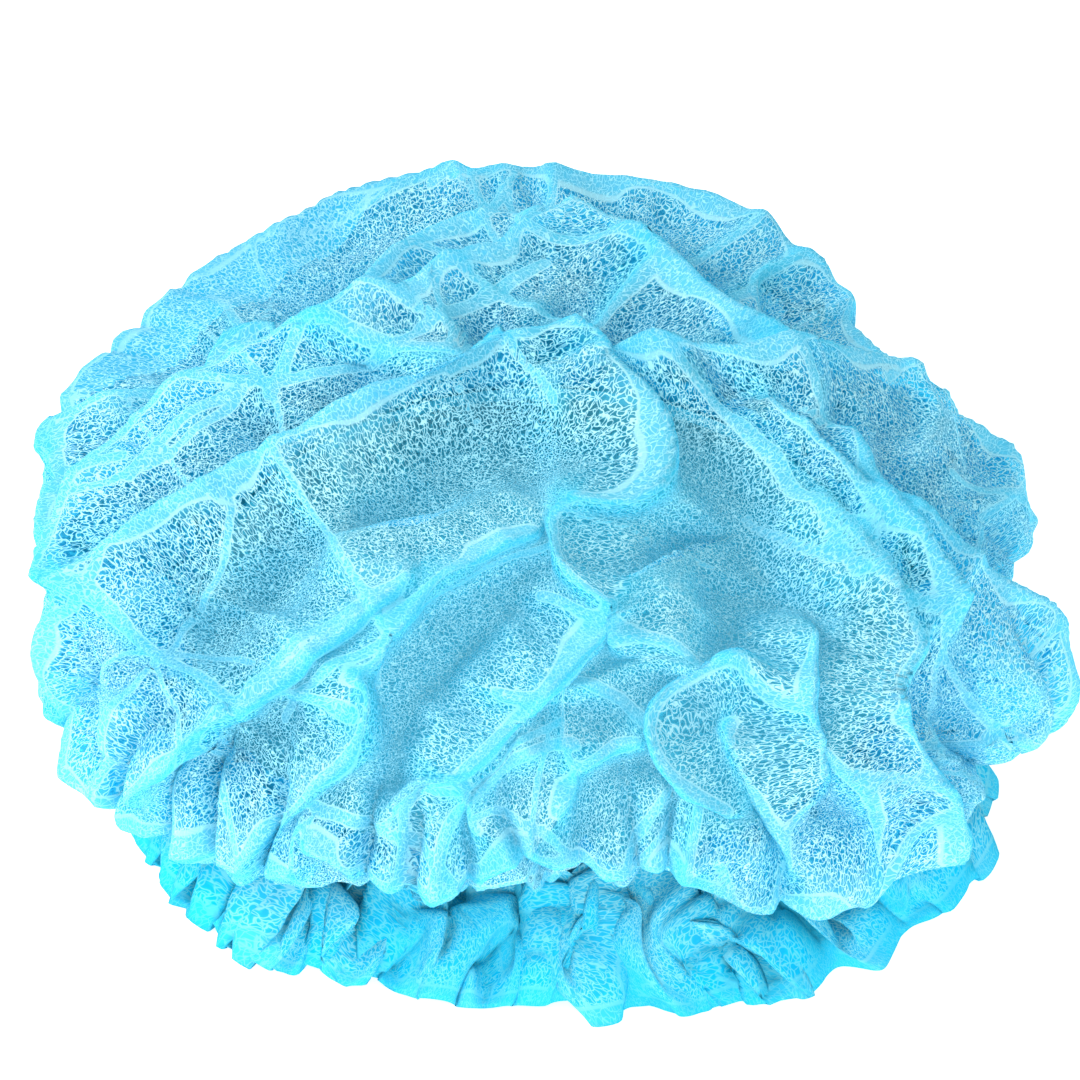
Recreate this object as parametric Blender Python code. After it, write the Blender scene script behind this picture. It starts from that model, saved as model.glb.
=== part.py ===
"""Disposable hairnet: a bouffant cap of thin spunbonded web, gathered on an elastic.

It lies crown up on a surface, puffed and crumpled. Metres, +Z up, the front is at -Y.
The origin is on the surface, under the middle of the cap.
"""

import math

import bpy
import numpy as np

# The bag above the elastic, before its folds
CROWN_WIDTH = 0.276
CROWN_DEPTH = 0.262
CROWN_HEIGHT = 0.104
CLOTH = 0.001

# The elastic's ring, along its centre line, and the cord itself
MOUTH_WIDTH = 0.200
MOUTH_DEPTH = 0.184
MOUTH_HEIGHT = 0.017
ELASTIC_TALL = 0.0050
ELASTIC_THICK = 0.0016

# The frill below the elastic
FRILL_WIDTH = 0.268
FRILL_DEPTH = 0.250
PLEAT_HEIGHT = 0.019
PLEATS = 32
# The scalloped edge's depth, share of the frill's reach, and the flat foot of a valley, share of a pleat's height
SCALLOP = 0.05
PLEAT_FOOT = 0.4
# Where the frill's valleys reach the surface, share of its way from the elastic to the free edge
FRILL_RESTS_AT = 0.8

# Folds and gathers of the bag
FOLD_HEIGHT = 0.017
FOLD_WIDTH = 0.034
# How sharply two folds meet, higher for a sharper valley
FOLD_BLEND = 6
GATHER_DEPTH = 0.005

# What keeps the pieces apart
GAP = 0.0003

# How fine the solids are
CROWN_RINGS = 21
STEPS_PER_PLEAT = 4
FRILL_STEPS = 5
ELASTIC_STEPS = 72
ELASTIC_SIDES = 6

# Where the belly lies between the crown's middle, 0, and the elastic, 1
BELLY_AT = 0.76

# The bag's outline in plan and its belly, from the front by the right, back and left, in equal steps.
# reach: the belly's reach, share of the half width and half depth
# belly: its height, share of CROWN_HEIGHT
# full: how full the dome is over it, 2 for an ellipse
# frill: the frill's reach, share of its half width and half depth
SECTIONS = (
    # reach, belly, full, frill
    (0.84, 0.50, 2.2, 1.02),
    (0.88, 0.49, 2.2, 1.08),
    (1.00, 0.47, 2.2, 1.13),
    (1.07, 0.43, 2.2, 1.10),
    (0.98, 0.38, 2.3, 0.96),
    (0.93, 0.32, 2.3, 0.98),
    (0.86, 0.32, 2.2, 0.98),
    (0.88, 0.32, 2.2, 0.98),
    (0.94, 0.32, 2.2, 0.98),
    (0.92, 0.32, 2.2, 0.98),
    (0.95, 0.32, 2.2, 0.98),
    (0.93, 0.32, 2.2, 0.98),
    (0.94, 0.32, 2.2, 0.98),
    (0.98, 0.32, 2.2, 0.98),
    (1.03, 0.38, 2.3, 1.00),
    (0.97, 0.43, 2.3, 1.02),
    (0.93, 0.47, 2.2, 1.06),
    (0.89, 0.49, 2.2, 1.02),
)

# The bag's main folds, each a ridge that bends through its middle place. A place is right and back of the
# middle of the flat disc, in shares of its radius down to the elastic.
# height, width: shares of FOLD_HEIGHT and FOLD_WIDTH
# lean: how much steeper the ridge falls on one side, positive on the right of its way, seen from outside
FOLDS = (
    # start, middle, end, height, width, lean
    # The long ridge over the front from the left, and the node that it ends in
    ((-0.50, -0.15), (-0.25, -0.06), (-0.01, 0.07), 1.1, 1.0, 0.0),
    # The upper edge of the front lobe, with the back lobe behind it
    ((-0.50, -0.13), (-0.39, 0.02), (-0.16, 0.13), 1.2, 0.9, -0.5),
    ((-0.16, 0.13), (-0.06, 0.18), (0.03, 0.30), 1.2, 0.9, -0.5),
    ((0.03, 0.30), (0.12, 0.17), (0.27, 0.08), 1.2, 0.9, -0.5),
    ((0.01, 0.08), (0.05, 0.11), (0.08, 0.19), 0.8, 0.7, 0.0),
    # The strong fold down the middle
    ((0.01, 0.08), (0.07, -0.03), (0.04, -0.10), 1.3, 0.8, 0.0),
    ((0.04, -0.10), (0.05, -0.18), (0.10, -0.29), 1.2, 0.9, 0.0),
    # The right lobe: its top edge and the long folds over it
    ((0.03, 0.04), (0.18, 0.06), (0.43, 0.13), 1.2, 0.9, -0.4),
    ((0.19, 0.01), (0.28, -0.08), (0.39, -0.20), 1.1, 0.8, 0.0),
    ((0.35, -0.23), (0.37, -0.36), (0.57, -0.53), 1.1, 0.8, 0.0),
    ((0.28, 0.00), (0.40, -0.14), (0.68, -0.21), 1.0, 0.8, 0.0),
    ((0.24, -0.09), (0.30, -0.15), (0.35, -0.23), 0.8, 0.6, 0.0),
    # The left lobes
    ((-0.03, -0.13), (-0.13, -0.21), (-0.23, -0.35), 1.1, 0.9, 0.0),
    ((-0.23, -0.35), (-0.27, -0.44), (-0.50, -0.59), 1.0, 0.9, 0.0),
    ((-0.57, -0.40), (-0.38, -0.34), (-0.15, -0.19), 1.2, 0.9, 0.0),
    # The front lobe's left edge and the small folds over it
    ((0.07, -0.24), (-0.01, -0.34), (-0.12, -0.46), 1.3, 0.8, 0.5),
    ((-0.13, -0.48), (-0.11, -0.52), (-0.09, -0.59), 0.9, 0.6, 0.0),
    ((0.03, -0.39), (0.03, -0.44), (0.04, -0.51), 0.7, 0.5, 0.0),
    ((0.11, -0.43), (0.05, -0.49), (0.02, -0.57), 0.8, 0.6, 0.0),
    ((0.22, -0.32), (0.17, -0.42), (0.26, -0.51), 0.9, 0.6, 0.0),
    ((0.24, -0.24), (0.27, -0.35), (0.32, -0.46), 0.9, 0.6, 0.0),
    ((0.24, -0.39), (0.29, -0.48), (0.38, -0.59), 0.8, 0.6, 0.0),
    # The crease that overhangs the frill
    ((-0.66, -0.27), (-0.62, -0.46), (-0.37, -0.60), 1.0, 0.8, 0.0),
    ((-0.30, -0.57), (-0.18, -0.65), (-0.03, -0.62), 1.0, 0.8, 0.0),
    ((-0.03, -0.62), (0.11, -0.64), (0.24, -0.62), 1.0, 0.8, 0.0),
    ((0.24, -0.62), (0.36, -0.65), (0.52, -0.60), 1.0, 0.8, 0.0),
    # The left edge of the front lobe
    ((-0.55, 0.08), (-0.53, -0.03), (-0.50, -0.15), 0.9, 0.7, 0.0),
    ((-0.50, -0.15), (-0.60, -0.23), (-0.68, -0.36), 1.0, 0.7, 0.0),
    # The back lobe: small folds in its hollow and the rim round it
    ((-0.34, 0.17), (-0.34, 0.13), (-0.33, 0.08), 0.6, 0.5, 0.0),
    ((-0.34, 0.17), (-0.26, 0.14), (-0.20, 0.10), 0.7, 0.5, 0.0),
    ((-0.24, 0.24), (-0.22, 0.17), (-0.20, 0.10), 0.6, 0.5, 0.0),
    ((-0.17, 0.16), (-0.12, 0.26), (-0.05, 0.34), 0.8, 0.5, 0.0),
    ((0.10, 0.32), (0.14, 0.23), (0.19, 0.14), 0.8, 0.5, 0.0),
    ((0.24, 0.29), (0.23, 0.20), (0.24, 0.11), 0.7, 0.5, 0.0),
    ((-0.56, 0.10), (-0.38, 0.36), (-0.10, 0.42), 1.2, 0.9, 0.0),
    ((-0.10, 0.42), (0.12, 0.42), (0.33, 0.28), 1.2, 0.9, 0.0),
    ((0.33, 0.28), (0.42, 0.18), (0.60, 0.10), 1.0, 0.8, 0.0),
    # The back, finished plainly
    ((-0.40, 0.40), (-0.48, 0.52), (-0.52, 0.68), 1.0, 0.8, 0.0),
    ((-0.16, 0.46), (-0.22, 0.60), (-0.20, 0.78), 1.0, 0.8, 0.0),
    ((0.06, 0.46), (0.10, 0.60), (0.06, 0.78), 0.9, 0.8, 0.0),
    ((0.28, 0.36), (0.38, 0.50), (0.40, 0.68), 1.0, 0.8, 0.0),
    ((0.52, 0.24), (0.60, 0.32), (0.70, 0.34), 0.9, 0.8, 0.0),
    ((-0.62, 0.16), (-0.66, 0.30), (-0.72, 0.34), 0.9, 0.8, 0.0),
    ((-0.34, 0.56), (-0.12, 0.58), (0.22, 0.56), 0.8, 0.7, 0.0),
)


def periodic(values, turn):
    """Values in equal steps round the turn, joined by a smooth closed curve."""
    values = np.asarray(values)
    count = len(values)
    at = np.mod(turn, 1.0) * count
    low = np.floor(at).astype(int)
    share = at - low
    before, here, after, beyond = (values[(low + step) % count] for step in (-1, 0, 1, 2))
    bend = 2 * before - 5 * here + 4 * after - beyond
    curl = -before + 3 * here - 3 * after + beyond
    return here + 0.5 * share * (after - before + share * (bend + share * curl))


def ellipse(turn, width, depth):
    """Points in plan round an ellipse, from the front by the right."""
    angle = 2 * math.pi * np.asarray(turn)
    return np.stack([width / 2 * np.sin(angle), -depth / 2 * np.cos(angle)], axis=-1)


def bag_point(turn, down):
    """A point of the bag without folds. down runs from the crown's middle, 0, to the elastic, 1."""
    reach, belly, full, _ = (periodic(column, turn) for column in zip(*SECTIONS))
    over = np.clip(down / BELLY_AT, 0, 1) * math.pi / 2
    under = np.clip((down - BELLY_AT) / (1 - BELLY_AT), 0, 1)
    belly_height = belly * CROWN_HEIGHT
    belly_plan = reach[..., None] * ellipse(turn, CROWN_WIDTH, CROWN_DEPTH)
    mouth_plan = ellipse(turn, MOUTH_WIDTH + ELASTIC_THICK, MOUTH_DEPTH + ELASTIC_THICK)
    out = np.sin(over) ** (2 / full)
    dome = belly_height + (CROWN_HEIGHT - belly_height) * np.cos(over) ** (2 / full)
    turned_in = (1 - np.cos(math.pi * under)) / 2
    plan = out[..., None] * belly_plan + turned_in[..., None] * (mouth_plan - belly_plan)
    height = np.where(under > 0, belly_height + (MOUTH_HEIGHT - belly_height) * under, dome)
    return np.concatenate([plan, height[..., None]], axis=-1)


def disc_to_share(right, back):
    """Turn and down of a place on the flat disc."""
    return np.mod(np.arctan2(right, -back) / (2 * math.pi), 1.0), np.hypot(right, back)


def fold_line(start, middle, end, steps=16):
    """Points on the bag under a ridge that bends through its middle point."""
    start, middle, end = (np.array(place) for place in (start, middle, end))
    control = 2 * middle - (start + end) / 2
    share = np.linspace(0, 1, steps)[:, None]
    flat = (1 - share) ** 2 * start + 2 * share * (1 - share) * control + share**2 * end
    turn, down = disc_to_share(flat[:, 0], flat[:, 1])
    return bag_point(turn, np.minimum(down, 1.0))


def distance_to_line(points, normals, line):
    """Distance from each point to a broken line, negative on its left seen from outside."""
    nearest = np.full(len(points), np.inf)
    side = np.ones(len(points))
    for low, high in zip(line[:-1], line[1:]):
        along = high - low
        share = np.clip(((points - low) @ along) / (along @ along), 0, 1)
        offset = points - low - share[:, None] * along
        distance = np.linalg.norm(offset, axis=1)
        closer = distance < nearest
        nearest[closer] = distance[closer]
        across = np.cross(along, normals[closer])
        side[closer] = np.sign(np.einsum("ij,ij->i", across, offset[closer]))
    return nearest * side


def fold_heights(points, normals):
    """How far the cloth stands out of the bag's plain form at these points."""
    total = np.zeros(len(points))
    for start, middle, end, height, width, lean in FOLDS:
        distance = distance_to_line(points, normals, fold_line(start, middle, end))
        slope = 1 + lean * np.sign(distance)
        rise = 1 - np.abs(distance) * slope / (width * FOLD_WIDTH)
        total += np.maximum(rise, 0) ** FOLD_BLEND * height**FOLD_BLEND
    return FOLD_HEIGHT * total ** (1 / FOLD_BLEND)


def square_grid(rings):
    """Places on the unit disc laid out as a square grid, and the grid's faces."""
    side = 2 * rings + 1
    row, column = np.meshgrid(np.arange(side) - rings, np.arange(side) - rings, indexing="ij")
    ring = np.maximum(np.abs(row), np.abs(column))
    wide = np.abs(column) >= np.abs(row)
    longer = np.where(wide, column, row)
    shorter = np.where(wide, row, column)
    angle = math.pi / 4 * shorter / np.where(longer == 0, 1, longer)
    along = ring / rings * np.sign(longer)
    right = np.where(wide, along * np.cos(angle), along * np.sin(angle))
    back = np.where(wide, along * np.sin(angle), along * np.cos(angle))
    index = np.arange(side * side).reshape(side, side)
    faces = np.stack([index[:-1, :-1], index[:-1, 1:], index[1:, 1:], index[1:, :-1]], axis=-1)
    rim = np.concatenate([index[0, :-1], index[:-1, -1], index[-1, :0:-1], index[:0:-1, 0]])
    return right.ravel(), back.ravel(), faces.reshape(-1, 4), rim


def split(quads, height, middle_height):
    """Triangles that cut each quad along the diagonal that lies nearer to the cloth at the quad's middle."""
    corner = height[quads]
    first = np.abs((corner[:, 0] + corner[:, 2]) / 2 - middle_height)
    second = np.abs((corner[:, 1] + corner[:, 3]) / 2 - middle_height)
    turned = np.where((first <= second)[:, None], quads, np.roll(quads, -1, axis=1))
    return np.concatenate([turned[:, [0, 1, 2]], turned[:, [0, 2, 3]]])


def vertex_normals(points, faces):
    """Normals of a sheet's vertices, out of the side that its triangles turn to."""
    across = np.cross(points[faces[:, 1]] - points[faces[:, 0]], points[faces[:, 2]] - points[faces[:, 0]])
    normals = np.zeros_like(points)
    for corner in range(3):
        np.add.at(normals, faces[:, corner], across)
    return normals / np.linalg.norm(normals, axis=1, keepdims=True)


def gathers(turn, down):
    """The gathers under the belly, even at the elastic and gone at the belly's edge."""
    under = np.clip((down - BELLY_AT) / (1 - BELLY_AT), 0, 1)
    return GATHER_DEPTH * np.sin(math.pi * under) * np.cos(2 * math.pi * PLEATS * turn)


def crown_rise(right, back, points, normals):
    """How far the folds and gathers lift the cloth at these places of the disc."""
    turn, down = disc_to_share(right, back)
    even = np.clip((1 - down) / (1 - BELLY_AT), 0, 1)
    return fold_heights(points, normals) * even + gathers(turn, down)


def crown_sheet(rings):
    """The outer face of the bag with its folds, as points, triangles and rim."""
    right, back, quads, rim = square_grid(rings)
    turn, down = disc_to_share(right, back)
    points = bag_point(turn, np.minimum(down, 1.0))
    level = np.zeros(len(points))
    normals = vertex_normals(points, split(quads, level, level[: len(quads)]))
    rise = crown_rise(right, back, points, normals)
    middles = [values[quads].mean(axis=1) for values in (right, back, points, normals)]
    faces = split(quads, rise, crown_rise(*middles))
    return points + rise[:, None] * normals, faces, rim


def shell(points, faces, loops):
    """A closed wall of cloth: the sheet, the same sheet a cloth's thickness inside it, and its edges.

    Where the sheet lies on the surface, its lower face is flat.
    """
    inner = points - CLOTH * vertex_normals(points, faces)
    lies = points[:, 2] < CLOTH + GAP / 10
    inner[lies, 2] = 0.0
    count = len(points)
    all_faces = [tuple(face) for face in faces]
    all_faces += [tuple(face[::-1] + count) for face in faces]
    for loop in loops:
        for here, after in zip(loop, np.roll(loop, -1)):
            all_faces.append((after, here, here + count, after + count))
    return np.concatenate([points, inner]), all_faces


def pleat_crest(turn):
    """How far up a pleat a place round the frill is, 0 in a valley and 1 on a crest. The pleats differ in width."""
    waver = 0.45 * np.sin(2 * math.pi * (5 * turn + 0.1)) + 0.3 * np.sin(2 * math.pi * (8 * turn + 0.6))
    return 0.5 + 0.5 * np.cos(2 * math.pi * (PLEATS * turn + waver))


def frill_profile(turn, out):
    """The frill's top face. out runs from the elastic, 0, to the free edge, 1."""
    crest = pleat_crest(turn)
    reach = periodic([row[3] for row in SECTIONS], turn)
    start = ellipse(turn, MOUTH_WIDTH + ELASTIC_THICK, MOUTH_DEPTH + ELASTIC_THICK)
    end = (reach + SCALLOP * (crest - 1))[..., None] * ellipse(turn, FRILL_WIDTH, FRILL_DEPTH)
    angle = out * math.pi / 2
    plan = start + (1 - np.cos(angle))[..., None] * (end - start)
    fall = np.sin(np.minimum(out / FRILL_RESTS_AT, 1) * math.pi / 2)
    height = CLOTH + (MOUTH_HEIGHT - GAP - CLOTH) * (1 - fall)
    height = height + PLEAT_HEIGHT * np.maximum(crest - PLEAT_FOOT, 0) * np.sin(out * math.pi * 0.8)
    return np.concatenate([plan, height[..., None]], axis=-1)


def frill_sheet():
    """The frill's top face, as points, triangles and its two edges."""
    columns = PLEATS * STEPS_PER_PLEAT
    turn, out = np.meshgrid(np.arange(columns) / columns, np.arange(FRILL_STEPS + 1) / FRILL_STEPS)
    points = frill_profile(turn.ravel(), out.ravel())
    index = np.arange(len(points)).reshape(FRILL_STEPS + 1, columns)
    after = np.roll(index, -1, axis=1)
    quads = np.stack([index[:-1], index[1:], after[1:], after[:-1]], axis=-1).reshape(-1, 4)
    middles = frill_profile((turn[:-1] + 0.5 / columns).ravel(), (out[:-1] + 0.5 / FRILL_STEPS).ravel())
    faces = split(quads, points[:, 2], middles[:, 2])
    return points, faces, (index[-1], index[0][::-1])


def elastic_points():
    """The elastic: a flat cord with rounded edges, closed into a ring inside the gather."""
    turn = np.arange(ELASTIC_STEPS) / ELASTIC_STEPS
    rows = []
    for side in range(ELASTIC_SIDES):
        angle = 2 * math.pi * (side + 0.5) / ELASTIC_SIDES
        inward = 2 * (CLOTH + GAP) + ELASTIC_THICK * (1 - math.cos(angle))
        plan = ellipse(turn, MOUTH_WIDTH + ELASTIC_THICK - inward, MOUTH_DEPTH + ELASTIC_THICK - inward)
        height = np.full((ELASTIC_STEPS, 1), MOUTH_HEIGHT + ELASTIC_TALL / 2 * math.sin(angle))
        rows.append(np.concatenate([plan, height], axis=1))
    index = np.arange(ELASTIC_SIDES * ELASTIC_STEPS).reshape(ELASTIC_SIDES, ELASTIC_STEPS)
    after = np.roll(index, -1, axis=1)
    above, above_after = np.roll(index, -1, axis=0), np.roll(after, -1, axis=0)
    faces = np.stack([index, after, above_after, above], axis=-1).reshape(-1, 4)
    return np.concatenate(rows), [tuple(face) for face in faces]


def finish_of(name, colour, roughness):
    """A plain Principled material."""
    material = bpy.data.materials.new(name)
    material.use_nodes = True
    shader = material.node_tree.nodes["Principled BSDF"]
    shader.inputs["Base Color"].default_value = (*colour, 1.0)
    shader.inputs["Roughness"].default_value = roughness
    shader.inputs["Metallic"].default_value = 0.0
    return material


def add_piece(name, points, faces, material):
    """One named object, shaded smooth except at its cut edges."""
    mesh = bpy.data.meshes.new(name)
    mesh.from_pydata([tuple(point) for point in points], [], [tuple(map(int, face)) for face in faces])
    mesh.validate()
    mesh.shade_smooth()
    mesh.set_sharp_from_angle(angle=math.radians(50))
    mesh.materials.append(material)
    piece = bpy.data.objects.new(name, mesh)
    bpy.context.scene.collection.objects.link(piece)
    return piece


def main():
    for thing in list(bpy.data.objects):
        bpy.data.objects.remove(thing, do_unlink=True)
    web = finish_of("cyan_web", (0.13, 0.68, 0.93), 0.6)
    frill_web = finish_of("cyan_frill", (0.02, 0.55, 0.92), 0.6)
    rubber = finish_of("pale_elastic", (0.80, 0.84, 0.86), 0.7)

    crown, faces, rim = crown_sheet(CROWN_RINGS)
    frill, frill_faces, edges = frill_sheet()
    elastic, elastic_faces = elastic_points()
    crown, faces = shell(crown, faces, (rim,))
    frill, frill_faces = shell(frill, frill_faces, edges)

    everything = np.concatenate([crown, frill, elastic])
    low, high = everything.min(axis=0), everything.max(axis=0)
    under_middle = np.array([(low[0] + high[0]) / 2, (low[1] + high[1]) / 2, low[2]])
    add_piece("crown", crown - under_middle, faces, web)
    add_piece("hem_ruffle", frill - under_middle, frill_faces, frill_web)
    add_piece("elastic_ring", elastic - under_middle, elastic_faces, rubber)


main()
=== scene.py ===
"""Looks of the disposable hairnet: its web, folds, ruffle and elastic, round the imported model.

Metres, +Z up, the front is at -Y.
"""

import math

import bpy
import numpy as np
from mathutils import Matrix, Vector


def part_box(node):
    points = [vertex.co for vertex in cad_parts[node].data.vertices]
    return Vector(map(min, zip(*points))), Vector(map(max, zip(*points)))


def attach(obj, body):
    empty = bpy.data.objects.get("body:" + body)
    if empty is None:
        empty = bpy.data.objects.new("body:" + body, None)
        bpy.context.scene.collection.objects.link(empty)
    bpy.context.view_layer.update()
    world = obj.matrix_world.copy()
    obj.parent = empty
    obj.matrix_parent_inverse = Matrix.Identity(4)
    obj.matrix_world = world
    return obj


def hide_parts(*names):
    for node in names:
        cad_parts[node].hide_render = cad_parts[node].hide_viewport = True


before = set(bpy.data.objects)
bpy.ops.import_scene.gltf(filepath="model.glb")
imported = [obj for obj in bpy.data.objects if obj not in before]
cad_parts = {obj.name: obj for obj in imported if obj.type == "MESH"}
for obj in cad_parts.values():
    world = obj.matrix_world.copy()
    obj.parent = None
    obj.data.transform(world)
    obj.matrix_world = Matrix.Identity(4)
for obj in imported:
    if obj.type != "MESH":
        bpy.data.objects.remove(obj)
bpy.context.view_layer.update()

# The photograph's view: its square side in pixels, the object's scale in it, the middle of its outline, how
# far up the picture plane that lies from the origin, and the camera's height angle, distance, clipping and
# sensor
PHOTO_SIDE = 1080
PIXELS_PER_METRE = 3520.0
OUTLINE_MIDDLE = (542.5, 587.5)
VIEW_MIDDLE_UP = 0.0225
VIEW_ELEVATION = math.radians(50)
VIEW_DISTANCE = 6.0
VIEW_CLIP = 20
SENSOR = 0.036

# The cloth's flat disc, its radius down to the elastic, and the frill's flat reach beyond that
DISC = 0.533
FLAT_BAG = 0.228
FLAT_FRILL = DISC / 2 - FLAT_BAG

# The bag, its mouth, its elastic and the frill, as in the model. The belly lies at a share of the way down
# the bag, and the frill comes to rest at a share of the way out.
CROWN_WIDTH = 0.276
CROWN_DEPTH = 0.262
CROWN_HEIGHT = 0.104
BELLY_AT = 0.76
MOUTH_WIDTH = 0.200
MOUTH_DEPTH = 0.184
MOUTH_HEIGHT = 0.017
ELASTIC_THICK = 0.0016
FRILL_WIDTH = 0.268
FRILL_DEPTH = 0.250
FRILL_RESTS_AT = 0.8
PLEATS = 32
PLEAT_HEIGHT = 0.019
SCALLOP = 0.05
GATHER_DEPTH = 0.005

# A main fold of height 1 and width 1, and how crisply two folds meet
FOLD_HEIGHT = 0.017
FOLD_WIDTH = 0.034
FOLD_BLEND = 6

# How fine the crown's sheet is: its rings of squares from the middle to the elastic
RINGS = 156

# The bag's outline in plan and its belly, from the front by the right, back and left, in equal steps
SECTIONS = (
    # reach, belly, full, frill
    (0.84, 0.50, 2.2, 1.02),
    (0.88, 0.49, 2.2, 1.08),
    (1.00, 0.47, 2.2, 1.13),
    (1.07, 0.43, 2.2, 1.10),
    (0.98, 0.38, 2.3, 0.96),
    (0.93, 0.32, 2.3, 0.98),
    (0.86, 0.32, 2.2, 0.98),
    (0.88, 0.32, 2.2, 0.98),
    (0.94, 0.32, 2.2, 0.98),
    (0.92, 0.32, 2.2, 0.98),
    (0.95, 0.32, 2.2, 0.98),
    (0.93, 0.32, 2.2, 0.98),
    (0.94, 0.32, 2.2, 0.98),
    (0.98, 0.32, 2.2, 0.98),
    (1.03, 0.38, 2.3, 1.00),
    (0.97, 0.43, 2.3, 1.02),
    (0.93, 0.47, 2.2, 1.06),
    (0.89, 0.49, 2.2, 1.02),
)

# The bag's main folds, each a ridge that bends through its middle place. A place is right and back of the
# middle of the flat disc, in shares of its radius down to the elastic.
FOLDS = (
    # start, middle, end, height, width, lean
    ((-0.50, -0.15), (-0.25, -0.06), (-0.01, 0.07), 1.1, 1.0, 0.0),
    ((-0.50, -0.13), (-0.39, 0.02), (-0.16, 0.13), 1.2, 0.9, -0.5),
    ((-0.16, 0.13), (-0.06, 0.18), (0.03, 0.30), 1.2, 0.9, -0.5),
    ((0.03, 0.30), (0.12, 0.17), (0.27, 0.08), 1.2, 0.9, -0.5),
    ((0.01, 0.08), (0.05, 0.11), (0.08, 0.19), 0.8, 0.7, 0.0),
    ((0.01, 0.08), (0.07, -0.03), (0.04, -0.10), 1.3, 0.8, 0.0),
    ((0.04, -0.10), (0.05, -0.18), (0.10, -0.29), 1.2, 0.9, 0.0),
    ((0.03, 0.04), (0.18, 0.06), (0.43, 0.13), 1.2, 0.9, -0.4),
    ((0.19, 0.01), (0.28, -0.08), (0.39, -0.20), 1.1, 0.8, 0.0),
    ((0.35, -0.23), (0.37, -0.36), (0.57, -0.53), 1.1, 0.8, 0.0),
    ((0.28, 0.00), (0.40, -0.14), (0.68, -0.21), 1.0, 0.8, 0.0),
    ((0.24, -0.09), (0.30, -0.15), (0.35, -0.23), 0.8, 0.6, 0.0),
    ((-0.03, -0.13), (-0.13, -0.21), (-0.23, -0.35), 1.1, 0.9, 0.0),
    ((-0.23, -0.35), (-0.27, -0.44), (-0.50, -0.59), 1.0, 0.9, 0.0),
    ((-0.57, -0.40), (-0.38, -0.34), (-0.15, -0.19), 1.2, 0.9, 0.0),
    ((0.07, -0.24), (-0.01, -0.34), (-0.12, -0.46), 1.3, 0.8, 0.5),
    ((-0.13, -0.48), (-0.11, -0.52), (-0.09, -0.59), 0.9, 0.6, 0.0),
    ((0.03, -0.39), (0.03, -0.44), (0.04, -0.51), 0.7, 0.5, 0.0),
    ((0.11, -0.43), (0.05, -0.49), (0.02, -0.57), 0.8, 0.6, 0.0),
    ((0.22, -0.32), (0.17, -0.42), (0.26, -0.51), 0.9, 0.6, 0.0),
    ((0.24, -0.24), (0.27, -0.35), (0.32, -0.46), 0.9, 0.6, 0.0),
    ((0.24, -0.39), (0.29, -0.48), (0.38, -0.59), 0.8, 0.6, 0.0),
    ((-0.66, -0.27), (-0.62, -0.46), (-0.37, -0.60), 1.0, 0.8, 0.0),
    ((-0.30, -0.57), (-0.18, -0.65), (-0.03, -0.62), 1.0, 0.8, 0.0),
    ((-0.03, -0.62), (0.11, -0.64), (0.24, -0.62), 1.0, 0.8, 0.0),
    ((0.24, -0.62), (0.36, -0.65), (0.52, -0.60), 1.0, 0.8, 0.0),
    ((-0.55, 0.08), (-0.53, -0.03), (-0.50, -0.15), 0.9, 0.7, 0.0),
    ((-0.50, -0.15), (-0.60, -0.23), (-0.68, -0.36), 1.0, 0.7, 0.0),
    ((-0.34, 0.17), (-0.34, 0.13), (-0.33, 0.08), 0.6, 0.5, 0.0),
    ((-0.34, 0.17), (-0.26, 0.14), (-0.20, 0.10), 0.7, 0.5, 0.0),
    ((-0.24, 0.24), (-0.22, 0.17), (-0.20, 0.10), 0.6, 0.5, 0.0),
    ((-0.17, 0.16), (-0.12, 0.26), (-0.05, 0.34), 0.8, 0.5, 0.0),
    ((0.10, 0.32), (0.14, 0.23), (0.19, 0.14), 0.8, 0.5, 0.0),
    ((0.24, 0.29), (0.23, 0.20), (0.24, 0.11), 0.7, 0.5, 0.0),
    ((-0.56, 0.10), (-0.38, 0.36), (-0.10, 0.42), 1.2, 0.9, 0.0),
    ((-0.10, 0.42), (0.12, 0.42), (0.33, 0.28), 1.2, 0.9, 0.0),
    ((0.33, 0.28), (0.42, 0.18), (0.60, 0.10), 1.0, 0.8, 0.0),
    ((-0.40, 0.40), (-0.48, 0.52), (-0.52, 0.68), 1.0, 0.8, 0.0),
    ((-0.16, 0.46), (-0.22, 0.60), (-0.20, 0.78), 1.0, 0.8, 0.0),
    ((0.06, 0.46), (0.10, 0.60), (0.06, 0.78), 0.9, 0.8, 0.0),
    ((0.28, 0.36), (0.38, 0.50), (0.40, 0.68), 1.0, 0.8, 0.0),
    ((0.52, 0.24), (0.60, 0.32), (0.70, 0.34), 0.9, 0.8, 0.0),
    ((-0.62, 0.16), (-0.66, 0.30), (-0.72, 0.34), 0.9, 0.8, 0.0),
    ((-0.34, 0.56), (-0.12, 0.58), (0.22, 0.56), 0.8, 0.7, 0.0),
)

# Creases between the main folds, from seeded draws. Lengths are shares of the flat radius to the elastic.
CREASES = (
    # how many, seed, shortest, longest, lowest, highest, slope, bend
    (64, 21, 0.30, 0.75, 0.0028, 0.0054, 0.50, 0.16),
    (50, 11, 0.14, 0.34, 0.0012, 0.0022, 0.55, 0.14),
)


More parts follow.
